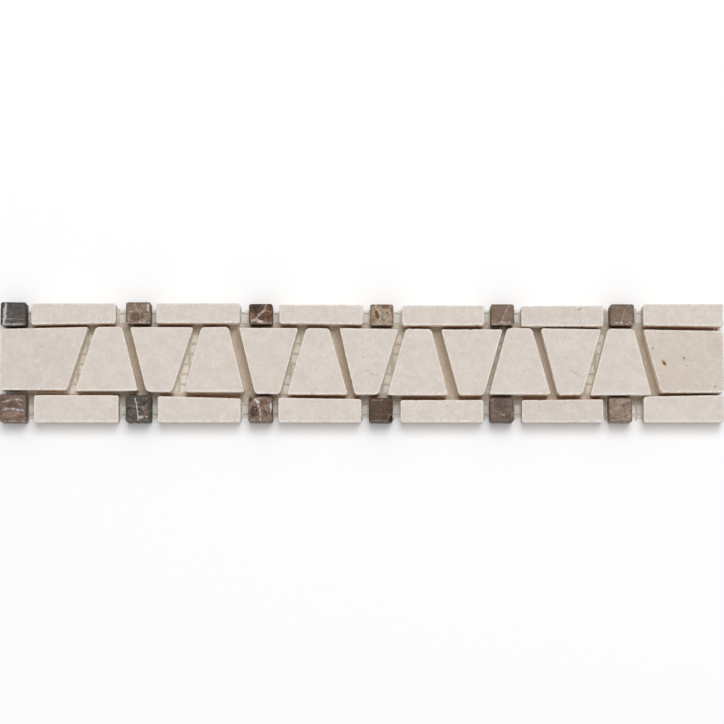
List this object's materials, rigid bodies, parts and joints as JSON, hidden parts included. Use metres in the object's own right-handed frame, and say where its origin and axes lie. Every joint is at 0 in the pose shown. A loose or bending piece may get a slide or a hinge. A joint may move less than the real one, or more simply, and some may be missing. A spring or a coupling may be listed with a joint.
{
  "type": "mosaic border tile",
  "caption": "Straight border tile of tumbled stone: a row of cream wedges turned over one after the other, between edge rows of dark squares and cream strips, on a backing mesh.",
  "frame": {"origin": "middle of the tile's back, on the surface that it lies on", "axes": "+X along the tile, +Y across it towards the row of edge stones at the picture's top, +Z out of the stones' faces"},
  "size_m": [0.3048, 0.0508, 0.01],
  "materials": {
    "cream_stone": "tumbled, matt",
    "dark_marble": "tumbled, matt, veined",
    "backing_mesh": "coated glass-fibre yarn"
  },
  "bodies": {
    "root": {"top_square_1": "dark_marble", "top_strip_1": "cream_stone", "top_square_2": "dark_marble", "top_strip_2": "cream_stone", "top_square_3": "dark_marble", "top_strip_3": "cream_stone", "top_square_4": "dark_marble", "top_strip_4": "cream_stone", "top_square_5": "dark_marble", "top_strip_5": "cream_stone", "top_square_6": "dark_marble", "top_strip_6": "cream_stone", "bottom_square_1": "dark_marble", "bottom_strip_1": "cream_stone", "bottom_square_2": "dark_marble", "bottom_strip_2": "cream_stone", "bottom_square_3": "dark_marble", "bottom_strip_3": "cream_stone", "bottom_square_4": "dark_marble", "bottom_strip_4": "cream_stone", "bottom_square_5": "dark_marble", "bottom_strip_5": "cream_stone", "bottom_square_6": "dark_marble", "bottom_strip_6": "cream_stone", "left_end_stone": "cream_stone", "wedge_1": "cream_stone", "wedge_2": "cream_stone", "wedge_3": "cream_stone", "wedge_4": "cream_stone", "wedge_5": "cream_stone", "wedge_6": "cream_stone", "wedge_7": "cream_stone", "wedge_8": "cream_stone", "wedge_9": "cream_stone", "wedge_10": "cream_stone", "wedge_11": "cream_stone", "right_end_stone": "cream_stone", "backing_mesh_left": "backing_mesh", "backing_mesh_right": "backing_mesh"}
  },
  "joints": []
}
